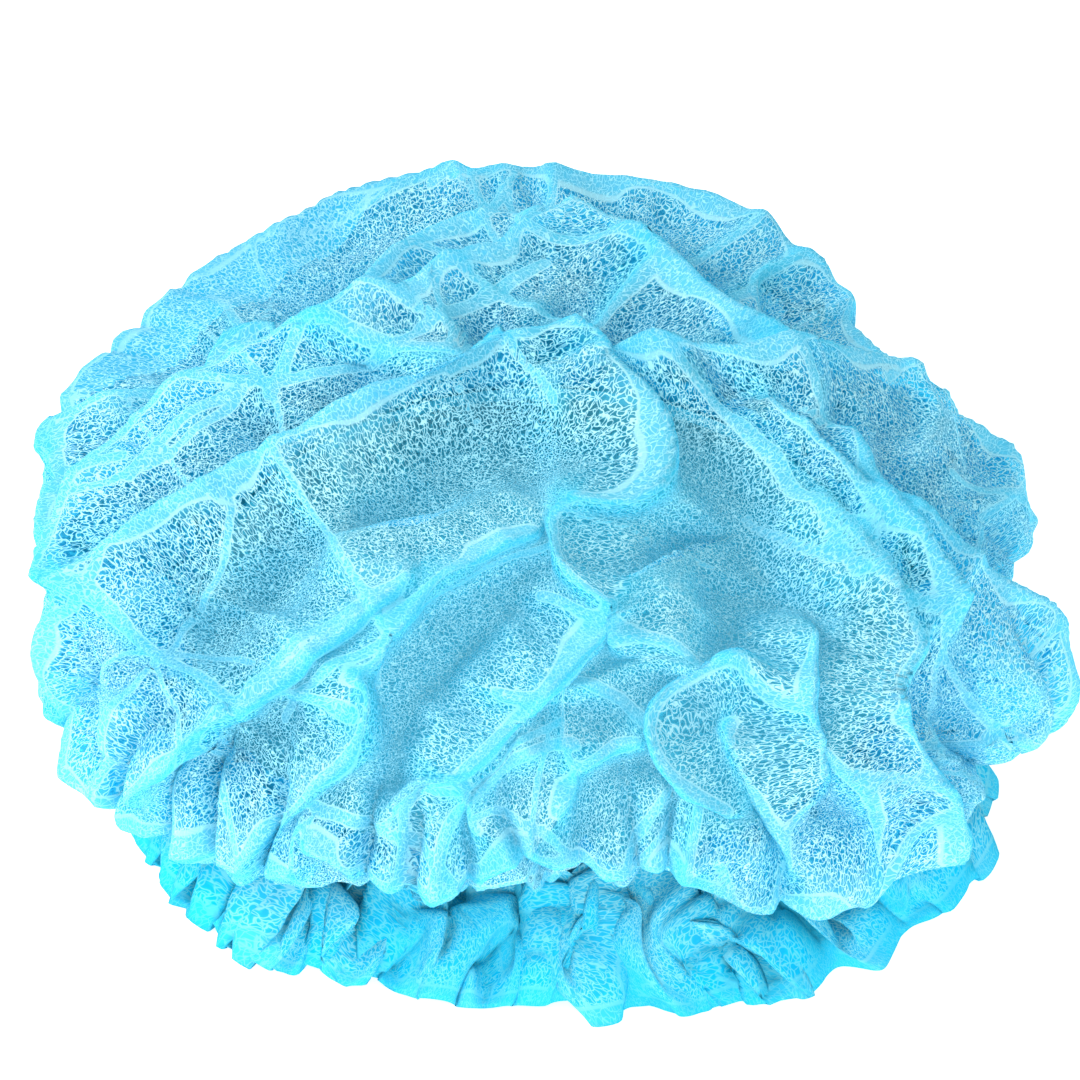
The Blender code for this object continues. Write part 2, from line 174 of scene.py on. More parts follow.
def add_camera():
    """The photograph's view of the cap, from the front and above."""
    up = Vector((0, math.sin(VIEW_ELEVATION), math.cos(VIEW_ELEVATION)))
    back = Vector((0, -math.cos(VIEW_ELEVATION), math.sin(VIEW_ELEVATION)))
    right = Vector((1, 0, 0))
    middle = right * mouth_middle()[0] + up * VIEW_MIDDLE_UP
    shift_right = (PHOTO_SIDE / 2 - OUTLINE_MIDDLE[0]) / PIXELS_PER_METRE
    shift_up = (OUTLINE_MIDDLE[1] - PHOTO_SIDE / 2) / PIXELS_PER_METRE
    aim = middle + right * shift_right + up * shift_up
    data = bpy.data.cameras.new("camera")
    data.sensor_width = SENSOR * 1000
    data.lens = SENSOR * 1000 * VIEW_DISTANCE * PIXELS_PER_METRE / PHOTO_SIDE
    data.clip_end = VIEW_CLIP
    camera = bpy.data.objects.new("camera", data)
    turn = Matrix((right, up, back)).transposed()
    camera.matrix_world = Matrix.Translation(aim + back * VIEW_DISTANCE) @ turn.to_4x4()
    bpy.context.scene.collection.objects.link(camera)
    bpy.context.scene.camera = camera


def periodic(values, turn):
    """Values in equal steps round the turn, joined by a smooth closed curve."""
    values = np.asarray(values)
    count = len(values)
    at = np.mod(turn, 1.0) * count
    low = np.floor(at).astype(int)
    share = at - low
    before, here, after, beyond = (values[(low + step) % count] for step in (-1, 0, 1, 2))
    bend = 2 * before - 5 * here + 4 * after - beyond
    curl = -before + 3 * here - 3 * after + beyond
    return here + 0.5 * share * (after - before + share * (bend + share * curl))


def ellipse(turn, width, depth):
    """Points in plan round an ellipse, from the front by the right."""
    angle = 2 * math.pi * np.asarray(turn)
    return np.stack([width / 2 * np.sin(angle), -depth / 2 * np.cos(angle)], axis=-1)


def bag_point(turn, down):
    """A point of the bag without folds. down runs from the crown's middle, 0, to the elastic, 1."""
    reach, belly, full, _ = (periodic(column, turn) for column in zip(*SECTIONS))
    over = np.clip(down / BELLY_AT, 0, 1) * math.pi / 2
    under = np.clip((down - BELLY_AT) / (1 - BELLY_AT), 0, 1)
    belly_height = belly * CROWN_HEIGHT
    belly_plan = reach[..., None] * ellipse(turn, CROWN_WIDTH, CROWN_DEPTH)
    mouth_plan = ellipse(turn, MOUTH_WIDTH + ELASTIC_THICK, MOUTH_DEPTH + ELASTIC_THICK)
    out = np.sin(over) ** (2 / full)
    dome = belly_height + (CROWN_HEIGHT - belly_height) * np.cos(over) ** (2 / full)
    turned_in = (1 - np.cos(math.pi * under)) / 2
    plan = out[..., None] * belly_plan + turned_in[..., None] * (mouth_plan - belly_plan)
    height = np.where(under > 0, belly_height + (MOUTH_HEIGHT - belly_height) * under, dome)
    return np.concatenate([plan, height[..., None]], axis=-1)


def disc_to_share(right, back):
    """Turn and down of a place on the flat disc."""
    return np.mod(np.arctan2(right, -back) / (2 * math.pi), 1.0), np.hypot(right, back)


def fold_line(start, middle, end, steps=16):
    """Points on the bag under a ridge that bends through its middle point."""
    start, middle, end = (np.array(place) for place in (start, middle, end))
    control = 2 * middle - (start + end) / 2
    share = np.linspace(0, 1, steps)[:, None]
    flat = (1 - share) ** 2 * start + 2 * share * (1 - share) * control + share**2 * end
    turn, down = disc_to_share(flat[:, 0], flat[:, 1])
    return bag_point(turn, np.minimum(down, 1.0))


def distance_to_line(points, normals, line):
    """Distance from each point to a broken line, negative on its left from outside, and the way across."""
    nearest = np.full(len(points), np.inf)
    side = np.ones(len(points))
    across_all = np.zeros_like(points)
    for low, high in zip(line[:-1], line[1:]):
        along = high - low
        share = np.clip(((points - low) @ along) / (along @ along), 0, 1)
        offset = points - low - share[:, None] * along
        distance = np.linalg.norm(offset, axis=1)
        closer = distance < nearest
        nearest[closer] = distance[closer]
        across = np.cross(along, normals[closer])
        across /= np.linalg.norm(across, axis=1, keepdims=True) + 1e-12
        side[closer] = np.sign(np.einsum("ij,ij->i", across, offset[closer]))
        across_all[closer] = across
    return nearest * side, across_all


def near_line(points, line, reach):
    """Which points may lie within reach of a line."""
    middle = (line.min(axis=0) + line.max(axis=0)) / 2
    half = np.linalg.norm(line - middle, axis=1).max()
    return np.flatnonzero(np.linalg.norm(points - middle, axis=1) < half + reach)


def square_grid(rings):
    """Places on the unit disc laid out as a square grid, and the grid's faces."""
    side = 2 * rings + 1
    row, column = np.meshgrid(np.arange(side) - rings, np.arange(side) - rings, indexing="ij")
    ring = np.maximum(np.abs(row), np.abs(column))
    wide = np.abs(column) >= np.abs(row)
    longer = np.where(wide, column, row)
    shorter = np.where(wide, row, column)
    angle = math.pi / 4 * shorter / np.where(longer == 0, 1, longer)
    along = ring / rings * np.sign(longer)
    right = np.where(wide, along * np.cos(angle), along * np.sin(angle))
    back = np.where(wide, along * np.sin(angle), along * np.cos(angle))
    index = np.arange(side * side).reshape(side, side)
    faces = np.stack([index[:-1, :-1], index[:-1, 1:], index[1:, 1:], index[1:, :-1]], axis=-1)
    return right.ravel(), back.ravel(), faces.reshape(-1, 4)


def quad_normals(points, faces):
    """Normals of a sheet's vertices, out of the side that its faces turn to."""
    corners = points[faces]
    across = np.cross(corners[:, 2] - corners[:, 0], corners[:, 3] - corners[:, 1])
    normals = np.zeros_like(points)
    for corner in range(4):
        np.add.at(normals, faces[:, corner], across)
    return normals / np.linalg.norm(normals, axis=1, keepdims=True)


def down_side(line, across):
    """1 if the way across a fold runs down the bag from the crown's middle, else -1."""
    return 1.0 if (across.mean(axis=0) @ (line.mean(axis=0) * (1, 1, -2))) >= 0 else -1.0


def smooth_step(low, high, value):
    """0 below low and 1 above high, with a smooth way between."""
    share = np.clip((value - low) / (high - low), 0, 1)
    return share * share * (3 - 2 * share)


def waves(places, size, count, seed):
    """Smooth seeded noise of about unit height, with bumps of a size in metres."""
    rng = np.random.default_rng(seed)
    total = np.zeros(len(places))
    for _ in range(count):
        way = rng.normal(size=places.shape[1])
        way *= 2 * math.pi / size * rng.uniform(0.6, 1.5) / np.linalg.norm(way)
        total += np.sin(places @ way + rng.uniform(0, 2 * math.pi))
    return total / math.sqrt(count / 2)


# A distance that counts as far from every fold, in halves of a folded band
FAR = 3.0
# Half the width of the band of doubled cloth along a main fold
RIDGE_BAND = 0.0022
# How far the deep cloth reaches below a main fold, and how far off a fold's line it is full. That cloth is
# bluer, partly as cloth doubled under the fold and partly as painted shade.
UNDER_WIDTH = 0.014
UNDER_FULL = 0.0015
# How far a main fold leans over its lower side, and how wide the part that leans is
LEAN = 0.008
LEAN_WIDTH = 0.013
# How high and how wide the pinched cloth along a main fold stands
PINCH = 0.0018
PINCH_WIDTH = 0.0050


def below(distance, width):
    """1 just below a fold, fading out over a width, and 0 above it."""
    return smooth_step(0.0, UNDER_FULL, distance) * np.clip(1 - distance / width, 0, 1)


def main_folds(points, normals):
    """The main folds at each point, all in metres but the last two.

    How far they lift the cloth, how far they lean it over, how far off the nearest one's line is, in halves
    of its band, and how near below one the point lies, from 0 to 1.
    """
    total = np.zeros(len(points))
    pinched = np.zeros(len(points))
    apart = np.full(len(points), FAR)
    under = np.zeros(len(points))
    shift = np.zeros_like(points)
    for start, middle, end, height, width, lean in FOLDS:
        line = fold_line(start, middle, end)
        reach = width * FOLD_WIDTH / (1 - abs(lean))
        near = near_line(points, line, reach)
        distance, across = distance_to_line(points[near], normals[near], line)
        slope = 1 + lean * np.sign(distance)
        rise = np.maximum(1 - np.abs(distance) * slope / (width * FOLD_WIDTH), 0)
        weight = (rise * height) ** FOLD_BLEND
        total[near] += weight
        pinch = PINCH * height * np.clip(1 - np.abs(distance) / PINCH_WIDTH, 0, 1)
        pinched[near] = np.maximum(pinched[near], pinch)
        apart[near] = np.minimum(apart[near], np.abs(distance) / (RIDGE_BAND * height))
        side = down_side(line, across)
        under[near] = np.maximum(under[near], below(distance * side, UNDER_WIDTH * height))
        leaning = side * LEAN * height * smooth_step(LEAN_WIDTH, 0, np.abs(distance))
        shift[near] += (weight * leaning)[:, None] * across
    rise = FOLD_HEIGHT * total ** (1 / FOLD_BLEND) + pinched
    return rise, shift / (total + 1e-9)[:, None], apart, under


# Which share of the flat area holds the small creases' middles. Beyond a share of the radius they run
# outward, give or take an angle. Over the given shares before the elastic they lose some of their height.
CREASED_AREA = 0.9
ANY_WAY_WITHIN = 0.5
OUTWARD_GIVE = 0.7
EDGE_CALM = (0.55, 0.75)
EDGE_CREASE_LOSS = 0.45
# How many points a crease's line has, how far its top leans over its lower side, in heights, and half its
# band's width at the plain height
CREASE_STEPS = 8
CREASE_LEAN = 0.5
CREASE_BAND = 0.0011
CREASE_PLAIN = 0.003
# How far the deep cloth reaches below a crease, in heights, and the height at which it is full. That cloth
# is bluer, partly as doubled cloth and partly as painted shade.
CREASE_UNDER = 1.6
CREASE_UNDER_FULL = 0.004


def small_creases(points, normals):
    """A seeded net of creases with flat sides and sharp tops, as main_folds gives the main folds."""
    total = np.zeros(len(points))
    apart = np.full(len(points), FAR)
    under = np.zeros(len(points))
    shift = np.zeros_like(points)
    for count, seed, shortest, longest, lowest, highest, slope, bend in CREASES:
        rng = np.random.default_rng(seed)
        for _ in range(count):
            down = math.sqrt(rng.uniform(0.0, CREASED_AREA))
            place = rng.uniform(0, 2 * math.pi)
            middle = down * np.array([math.cos(place), math.sin(place)])
            any_way = down < ANY_WAY_WITHIN
            way = rng.uniform(0, 2 * math.pi) if any_way else place + rng.normal(0, OUTWARD_GIVE)
            length = rng.uniform(shortest, longest)
            half = length / 2 * np.array([math.cos(way), math.sin(way)])
            off = rng.normal(0, bend) * length * np.array([-math.sin(way), math.cos(way)])
            height = rng.uniform(lowest, highest) * (1 - EDGE_CREASE_LOSS * smooth_step(*EDGE_CALM, down))
            ends = [end * min(1.0, 1.0 / math.hypot(*end)) for end in (middle - half, middle + half)]
            line = fold_line(ends[0], middle + off, ends[1], CREASE_STEPS)
            near = near_line(points, line, height / slope)
            if len(near) == 0:
                continue
            distance, across = distance_to_line(points[near], normals[near], line)
            rise = np.maximum(height - slope * np.abs(distance), 0)
            side = down_side(line, across)
            leads = rise > total[near]
            shift[near[leads]] = ((side * CREASE_LEAN * rise)[:, None] * across)[leads]
            layers_and_shade = below(distance * side, CREASE_UNDER * height) * min(1.0, height / CREASE_UNDER_FULL)
            under[near] = np.maximum(under[near], layers_and_shade)
            total[near] = np.maximum(total[near], rise)
            band = CREASE_BAND * math.sqrt(height / CREASE_PLAIN)
            apart[near] = np.minimum(apart[near], np.abs(distance) / band)
    return total, shift, apart, under


def gathers(turn, down):
    """The gathers under the belly, even at the elastic and gone at the belly's edge."""
    under = np.clip((down - BELLY_AT) / (1 - BELLY_AT), 0, 1)
    return GATHER_DEPTH * np.sin(math.pi * under) * np.cos(2 * math.pi * PLEATS * turn)


def mouth_middle():
    """Where the elastic's middle lies in plan, as the model has it."""
    low, high = (np.array(corner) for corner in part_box("elastic_ring"))
    return np.array([(low[0] + high[0]) / 2, (low[1] + high[1]) / 2, 0.0])


def mesh_piece(name, points, faces, material):
    """A smooth mesh object of four-cornered faces."""
    mesh = bpy.data.meshes.new(name)
    mesh.vertices.add(len(points))
    mesh.vertices.foreach_set("co", points.astype(np.float32).ravel())
    mesh.loops.add(faces.size)
    mesh.loops.foreach_set("vertex_index", faces.ravel())
    mesh.polygons.add(len(faces))
    mesh.polygons.foreach_set("loop_start", np.arange(0, faces.size, 4))
    mesh.update(calc_edges=True)
    mesh.validate()
    mesh.shade_smooth()
    mesh.materials.append(material)
    piece = bpy.data.objects.new(name, mesh)
    bpy.context.scene.collection.objects.link(piece)
    return piece


def add_masks(mesh, attributes):
    """A mesh's web coordinates and masks as point attributes."""
    for key, values in attributes.items():
        kind = "FLOAT_VECTOR" if values.ndim == 2 else "FLOAT"
        layer = mesh.attributes.new(key, kind, "POINT")
        layer.data.foreach_set("vector" if values.ndim == 2 else "value", values.astype(np.float32).ravel())


def node(tree, kind, **settings):
    """A shader node with its settings."""
    made = tree.nodes.new(kind)
    for key, value in settings.items():
        setattr(made, key, value)
    return made


def maths(tree, operation, first, second=None, third=None, clamp=False):
    """A Math node whose inputs are sockets or numbers, and its output."""
    made = node(tree, "ShaderNodeMath", operation=operation, use_clamp=clamp)
    for slot, value in enumerate((first, second, third)):
        if value is None:
            continue
        if isinstance(value, (int, float)):
            made.inputs[slot].default_value = value
        else:
            tree.links.new(value, made.inputs[slot])
    return made.outputs[0]


# The web's net, in metres: its cells, its strands, and the size and reach of the noise that curls them
CELL = 0.00118
STRAND = 0.00017
CURL_SIZE = 0.00125
CURL_REACH = 0.0015
# Where a strand fades out and where it is full: of the net, in halves of its width, and of the loose ones,
# in the noise's distance from its middle value
STRAND_EDGE = (1.9, 0.5)
LOOSE_EDGE = (0.075, 0.020)


def curled(tree, place, size, amount):
    """The web's flat places bent so that its strands curl, and a smooth noise. Both sizes are in metres."""
    noise = node(tree, "ShaderNodeTexNoise", noise_dimensions="2D")
    noise.inputs["Scale"].default_value = 1 / size
    noise.inputs["Detail"].default_value = 0.0
    tree.links.new(place, noise.inputs["Vector"])
    scaled = node(tree, "ShaderNodeVectorMath", operation="MULTIPLY_ADD")
    tree.links.new(noise.outputs["Color"], scaled.inputs[0])
    scaled.inputs[1].default_value = (amount, amount, 0)
    tree.links.new(place, scaled.inputs[2])
    parts = node(tree, "ShaderNodeSeparateXYZ")
    tree.links.new(noise.outputs["Color"], parts.inputs[0])
    return scaled.outputs[0], parts.outputs[2]


def web_strands(tree, place, cell, strand):
    """Where a random web's strands lie, and how far off the next one is in cells. The sizes are in metres."""
    cells = node(tree, "ShaderNodeTexVoronoi", feature="DISTANCE_TO_EDGE", voronoi_dimensions="2D")
    cells.inputs["Scale"].default_value = 1 / cell
    cells.inputs["Randomness"].default_value = 1.0
    tree.links.new(place, cells.inputs["Vector"])
    half = strand / cell / 2
    none, full = (half * share for share in STRAND_EDGE)
    return eased(tree, cells.outputs["Distance"], none, full), cells.outputs["Distance"]


def loose_strands(tree, noise):
    """Long curly strands that wander over the web, along the lines where a noise has its middle value."""
    off = maths(tree, "ABSOLUTE", maths(tree, "SUBTRACT", noise, 0.5))
    return eased(tree, off, *LOOSE_EDGE)


def eased(tree, value, none, full):
    """A smooth way from 0 where the value is none to 1 where it is full."""
    made = node(tree, "ShaderNodeMapRange", interpolation_type="SMOOTHSTEP")
    low, high = min(none, full), max(none, full)
    made.inputs["From Min"].default_value = low
    made.inputs["From Max"].default_value = high
    made.inputs["To Min"].default_value = 0.0 if none < full else 1.0
    made.inputs["To Max"].default_value = 1.0 if none < full else 0.0
    tree.links.new(value, made.inputs["Value"])
    return made.outputs["Result"]


def blended(tree, share, first, second):
    """A colour between two, by a socket from 0 to 1."""
    mix = node(tree, "ShaderNodeMix", data_type="RGBA")
    tree.links.new(share, mix.inputs[0])
    for slot, value in ((6, first), (7, second)):
        if isinstance(value, tuple):
            mix.inputs[slot].default_value = (*value, 1)
        else:
            tree.links.new(value, mix.inputs[slot])
    return mix.outputs[2]


# The web's colours in linear light: its strands, the finer web between them, and the film in its holes
STRAND_COLOUR = (0.56, 0.95, 1.0)
BASE_COLOUR = (0.07, 0.72, 1.0)
FILM_COLOUR = (0.30, 0.79, 0.96)
# The same where the cloth lies deep under a fold, bluer partly as doubled cloth and partly as painted shade,
# and where painted shade darkens it in a hollow and on the rear
LAYERS_AND_SHADE_STRAND = (0.13, 0.79, 1.0)
LAYERS_AND_SHADE_COLOUR = (0.006, 0.70, 1.0)
LAYERS_AND_SHADE_FILM = (0.08, 0.74, 1.0)
PAINTED_SHADE_STRAND = (0.36, 0.80, 0.94)
PAINTED_SHADE_COLOUR = (0.07, 0.50, 0.77)
# What shows in the holes of web that lies on more web, plain and deep: the cloth behind, darkened by
# painted shade. And how much of the web's own colour stays
SHADED_BEHIND_COLOUR = (0.04, 0.40, 0.66)
LAYERS_AND_SHADE_BEHIND = (0.004, 0.54, 0.97)
HOLE_KEEPS = 0.25
# How much of what is behind the finer web hides, how much more where it is deep or steep, and what a hole
# loses
BASE_HOLD = 0.30
DEEP_HOLD = 0.30
STEEP_HOLD = 0.28
HOLE_LOSS = 0.8
# Where a hole begins and is wide open, in cells from a strand. Where a folded band begins and is full, and
# how far off that its light edge fades out and is full, in halves of the band
HOLE_EDGE = (0.14, 0.28)
BAND_FROM = (1.05, 0.92)
LIGHT_EDGE = (0.20, 0.06)
# How pale the loose strands, a band, its edge and a ridge are, and how much the strands fade in a band
LOOSE_PALE = 0.85
BAND_PALE = 0.22
EDGE_PALE = 0.80
RIDGE_PALE = 0.15
BAND_FADES = 0.25
# How closed a band, its edge and a ridge are
BAND_CLOSED = 0.72
EDGE_CLOSED = 0.85
RIDGE_CLOSED = 0.45
# How much of the light that falls on a fibre goes on through it
TRANSLUCENT = 0.24


def web_material(name, see_through):
    """Cyan spunbonded web: pale strands over a finer, bluer web with small holes, closed along the ridges.

    The web thins to a tinted film between its strands. The deep mask makes it bluer and closer: partly for
    cloth lying over itself, partly as painted shade below the folds. Painted shade darkens it in the hollows
    and on the rear. Where it isn't see-through, as where it lies many times over itself, its holes show dark
    cloth behind it instead, darkened by painted shade.
    """
    material = bpy.data.materials.new(name)
    material.use_nodes = True
    tree = material.node_tree
    tree.nodes.clear()
    output = node(tree, "ShaderNodeOutputMaterial")
    place = node(tree, "ShaderNodeAttribute", attribute_name="web").outputs["Vector"]
    ridge, layers_and_shade, steep, painted_shade, fold = (
        node(tree, "ShaderNodeAttribute", attribute_name=mask).outputs["Fac"]
        for mask in ("ridge", "layers_and_shade", "steep", "painted_shade", "fold")
    )
    bent, noise = curled(tree, place, CURL_SIZE, CURL_REACH)
    coarse, hole = web_strands(tree, bent, CELL, STRAND)
    loose = maths(tree, "MULTIPLY", loose_strands(tree, noise), LOOSE_PALE)
    strands = maths(tree, "MAXIMUM", coarse, loose, clamp=True)
    inside = eased(tree, fold, *BAND_FROM)
    edge = eased(tree, maths(tree, "ABSOLUTE", maths(tree, "SUBTRACT", fold, 1.0)), *LIGHT_EDGE)
    softer = maths(tree, "MULTIPLY", strands, maths(tree, "MULTIPLY_ADD", inside, -BAND_FADES, 1.0))
    pale = softer
    shut = strands
    for mask, pale_share, shut_share in (
        (inside, BAND_PALE, BAND_CLOSED),
        (edge, EDGE_PALE, EDGE_CLOSED),
        (ridge, RIDGE_PALE, RIDGE_CLOSED),
    ):
        pale = maths(tree, "MAXIMUM", pale, maths(tree, "MULTIPLY", mask, pale_share), clamp=True)
        shut = maths(tree, "MAXIMUM", shut, maths(tree, "MULTIPLY", mask, shut_share), clamp=True)
    hold = maths(tree, "MULTIPLY_ADD", layers_and_shade, DEEP_HOLD, BASE_HOLD)
    hold = maths(tree, "ADD", hold, maths(tree, "MULTIPLY", steep, STEEP_HOLD))
    thin = maths(tree, "MULTIPLY_ADD", eased(tree, hole, *HOLE_EDGE), -HOLE_LOSS, 1.0)
    cover = maths(tree, "MAXIMUM", shut, maths(tree, "MULTIPLY", hold, thin), clamp=True)
    # Bluer where the cloth lies over itself, with painted shade below the folds, and darker with painted
    # shade in the hollows and on the rear
    base_colour = blended(tree, painted_shade, blended(tree, layers_and_shade, BASE_COLOUR, LAYERS_AND_SHADE_COLOUR), PAINTED_SHADE_COLOUR)
    strand_colour = blended(tree, painted_shade, blended(tree, layers_and_shade, STRAND_COLOUR, LAYERS_AND_SHADE_STRAND), PAINTED_SHADE_STRAND)
    colour = blended(tree, pale, base_colour, strand_colour)
    if not see_through:
        # The holes show the cloth behind, darkened by painted shade
        shaded_behind = blended(tree, layers_and_shade, SHADED_BEHIND_COLOUR, LAYERS_AND_SHADE_BEHIND)
        share = maths(tree, "MULTIPLY_ADD", cover, 1 - HOLE_KEEPS, HOLE_KEEPS)
        colour = blended(tree, share, shaded_behind, colour)
    surface = node(tree, "ShaderNodeBsdfDiffuse")
    tree.links.new(colour, surface.inputs["Color"])
    through = node(tree, "ShaderNodeBsdfTranslucent")
    tree.links.new(colour, through.inputs["Color"])
    fibre = node(tree, "ShaderNodeMixShader")
    fibre.inputs[0].default_value = TRANSLUCENT
    tree.links.new(surface.outputs[0], fibre.inputs[1])
    tree.links.new(through.outputs[0], fibre.inputs[2])
    if not see_through:
        tree.links.new(fibre.outputs[0], output.inputs["Surface"])
        return material
    clear = node(tree, "ShaderNodeBsdfTransparent")
    tree.links.new(blended(tree, layers_and_shade, FILM_COLOUR, LAYERS_AND_SHADE_FILM), clear.inputs["Color"])
    mixed = node(tree, "ShaderNodeMixShader")
    tree.links.new(cover, mixed.inputs[0])
    tree.links.new(clear.outputs[0], mixed.inputs[1])
    tree.links.new(fibre.outputs[0], mixed.inputs[2])
    tree.links.new(mixed.outputs[0], output.inputs["Surface"])
    return material


# A net of crests: the size of the noise that bends its lines and how far it bends them, in shares of the
# net's own size, the noise value at which a hollow is flat, and the one that half a crest's band takes up
BENDING_SIZE = 1.3
BENDING = 0.12
CREST_FOOT = 1.1
CREST_BAND = 0.10


def crumple(flat, size, seed):
    """A net of sharp crests, from 0 to 1, and how far off a crest's line is, in halves of its band."""
    bend = np.stack([waves(flat, size * BENDING_SIZE, 9, seed + step) for step in (1, 2)], axis=1)
    value = np.abs(waves(flat + BENDING * size * bend, size, 11, seed))
    return np.clip(1 - value / CREST_FOOT, 0, 1), value / CREST_BAND


# How uneven the bands along the main folds are, in powers of 2: the middle, the give, the limits and the
# bumps' size
BAND_MIDDLE = 0.4
BAND_GIVE = 0.9
BAND_LIMITS = (-0.7, 1.8)
BAND_BUMPS = 0.035


def shaped_bag(rings):
    """The bag with its main folds.

    Its flat places, faces, plain places and normals, and folded places, then how far off the next fold's line
    is, how near below a fold each place lies, and how free it is of the elastic.
    """
    right, back, faces = square_grid(rings)
    flat = np.stack([right, back], axis=1) * FLAT_BAG
    turn, down = disc_to_share(right, back)
    points = bag_point(turn, np.minimum(down, 1.0))
    normals = quad_normals(points, faces)
    free = np.clip((1 - down) / (1 - BELLY_AT), 0, 1)
    rise, shift, apart, under = main_folds(points, normals)
    uneven = BAND_MIDDLE + BAND_GIVE * waves(flat, BAND_BUMPS, 9, 77)
    apart = np.minimum(apart * 2 ** np.clip(uneven, *BAND_LIMITS), FAR)
    shaped = points + (rise * free + gathers(turn, down))[:, None] * normals + shift * free[:, None]
    return flat, faces, points, normals, shaped, apart, under, free


# How firmly the cloth is held while it settles, in the open and on the ridges, and half bands from a ridge
# at which that starts and is full
HOLD_FREE = 0.12
HOLD_RIDGE = 0.70
HELD_FROM = (1.4, 0.6)
# The net of low crests that the cloth starts to buckle from: its size and height
START_SIZE = 0.045
START_HEIGHT = 0.003
SETTLE_FRAMES = 20
# What makes up for the move that is lost where the buckles are smoothed, and the farthest move
CLOTH_GAIN = 1.3
CLOTH_REACH = 0.010
# The cloth's slack against its starting shape, and the solver's settings
CLOTH_SLACK = 0.10
CLOTH_SETTINGS = {
    "quality": 4,
    "mass": 0.1,
    "air_damping": 2.0,
    "tension_stiffness": 15,
    "compression_stiffness": 15,
    "shear_stiffness": 8,
    "bending_stiffness": 12.0,
    "tension_damping": 10,
    "compression_damping": 10,
    "bending_damping": 0.5,
    "shrink_min": -CLOTH_SLACK,
    "shrink_max": -CLOTH_SLACK,
    "vertex_group_mass": "hold",
    "pin_stiffness": 1.0,
}


def settle_cloth():
    """How the crown's cloth moves when it buckles, being a little longer than the shape that it starts in."""
    flat, faces, _, normals, shaped, apart, _, free = shaped_bag(RINGS // 2)
    crest, _ = crumple(flat, START_SIZE, 41)
    start = shaped + (START_HEIGHT * (crest - 0.5) * free)[:, None] * normals
    mesh = bpy.data.meshes.new("settling")
    mesh.from_pydata(start.tolist(), [], faces.tolist())
    cloth = bpy.data.objects.new("settling", mesh)
    bpy.context.scene.collection.objects.link(cloth)
    group = cloth.vertex_groups.new(name="hold")
    hold = np.maximum(np.maximum(HOLD_FREE, HOLD_RIDGE * smooth_step(*HELD_FROM, apart)), 1 - free)
    for index, weight in enumerate(hold.tolist()):
        group.add([index], weight, "REPLACE")
    modifier = cloth.modifiers.new("settle", "CLOTH")
    for key, value in CLOTH_SETTINGS.items():
        setattr(modifier.settings, key, value)
    modifier.settings.effector_weights.gravity = 0.0
    modifier.collision_settings.use_collision = False
    modifier.collision_settings.use_self_collision = False
    modifier.point_cache.frame_start = 1
    modifier.point_cache.frame_end = SETTLE_FRAMES
    for step in range(1, SETTLE_FRAMES + 1):
        bpy.context.scene.frame_set(step)
    settled = cloth.evaluated_get(bpy.context.evaluated_depsgraph_get())
    moved = np.empty(len(start) * 3, np.float32)
    settled.data.vertices.foreach_get("co", moved)
    moved = moved.reshape(-1, 3) - start
    moved = blurred(blurred(moved.reshape(RINGS + 1, RINGS + 1, 3), 1), 1).reshape(-1, 3) * CLOTH_GAIN
    bpy.data.objects.remove(cloth, do_unlink=True)
    bpy.context.scene.frame_set(1)
    far = np.linalg.norm(moved, axis=1, keepdims=True)
    return moved * np.minimum(1, CLOTH_REACH / np.maximum(far, 1e-9))


def finer(values, side):
    """Values on a square grid of side by side places, put onto one twice as fine by smooth curves."""
    grid = values.reshape(side, side, -1)
    for axis in (0, 1):
        grid = np.moveaxis(grid, axis, 0)
        padded = np.concatenate([grid[:1], grid, grid[-1:]])
        wider = np.empty((2 * len(grid) - 1, *grid.shape[1:]))
        wider[0::2] = grid
        wider[1::2] = (9 * (padded[1:-2] + padded[2:-1]) - padded[:-3] - padded[3:]) / 16
        grid = np.moveaxis(wider, 0, axis)
    return grid.reshape(-1, grid.shape[2])


def blurred(grid, reach):
    """Values on a square grid, each the mean of those within reach places of it both ways."""
    for axis in (0, 1):
        grid = np.moveaxis(grid, axis, 0)
        padded = np.concatenate([np.repeat(grid[:1], reach + 1, 0), grid, np.repeat(grid[-1:], reach, 0)])
        summed = np.cumsum(padded, axis=0)
        grid = np.moveaxis((summed[2 * reach + 1 :] - summed[: -2 * reach - 1]) / (2 * reach + 1), 0, axis)
    return grid


def stands_out(points, normals, side, reach):
    """How far each place of a gridded sheet stands out of the cloth round it, in metres."""
    smooth = blurred(blurred(points.reshape(side, side, 3), reach), reach).reshape(-1, 3)
    return np.einsum("ij,ij->i", points - smooth, normals)


def strength(value, low, high, full):
    """0 where a value is below low, and full where it is above high."""
    return smooth_step(low, high, value) * full


# How full lobes are between their creases: fuller the nearer this is to 0
LOBE_ROUND = 0.6


def domed(crest):
    """Rounded lobes between sharp creases, made from crests between flat hollows."""
    return np.clip(1 - crest, 0, 1) ** LOBE_ROUND


# The line along the upper folds beyond which the cloth is calmer and darker, darkened by painted shade, in
# shares of the flat radius, and where behind it that starts and is full
TOP_LINE_RIGHT = (-1.0, -0.56, -0.33, -0.10, 0.12, 0.33, 0.60, 1.0)
TOP_LINE_BACK = (-0.10, 0.10, 0.29, 0.42, 0.42, 0.28, 0.10, 0.0)
REAR_FADE = (-0.02, 0.06)
# How much less the cloth is creased and crested there, how much its bands are narrowed, and how dark
# painted shade makes it
REAR_CREASE_LOSS = 0.5
REAR_CREST_LOSS = 0.6
REAR_RIDGE_LOSS = 0.8
REAR_NARROWS = 0.5
REAR_PAINTED_SHADE = 0.85
# The share of their height that the small creases keep
CREASE_SHARE = 0.8
